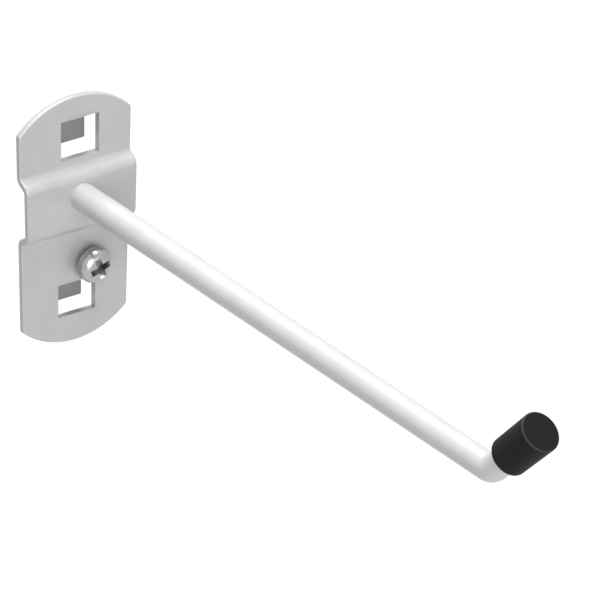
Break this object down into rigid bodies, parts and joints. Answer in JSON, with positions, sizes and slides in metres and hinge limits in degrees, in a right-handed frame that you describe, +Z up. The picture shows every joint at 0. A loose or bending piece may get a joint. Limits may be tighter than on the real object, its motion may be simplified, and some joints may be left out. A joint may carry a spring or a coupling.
{
  "type": "hook",
  "caption": "Tool hook for a perforated panel: arched coated steel plate with rear lugs and a locking screw, and a long round rod turned up at its plastic-capped tip.",
  "frame": {"origin": "on the panel's front face, on the plate's centre line, level with the underside of the upper lug", "axes": "+X to the right, +Y back into the panel, +Z up; the rod points along -Y"},
  "size_m": [0.0282, 0.175, 0.0571],
  "materials": {
    "coated_steel": "smooth satin silver-grey powder coat",
    "cap_plastic": "matt black moulded plastic",
    "zinc_steel": "bright zinc plate"
  },
  "bodies": {
    "hook": {"back_plate": "coated_steel", "hook_rod": "coated_steel", "end_cap": "cap_plastic"},
    "screw": {"locking_screw": "zinc_steel"}
  },
  "joints": [
    {"name": "locking_screw_travel", "type": "slide", "parent": "hook", "child": "screw", "axis": [0, 1, 0], "range_m": [-0.0025, 0.00195]}
  ]
}
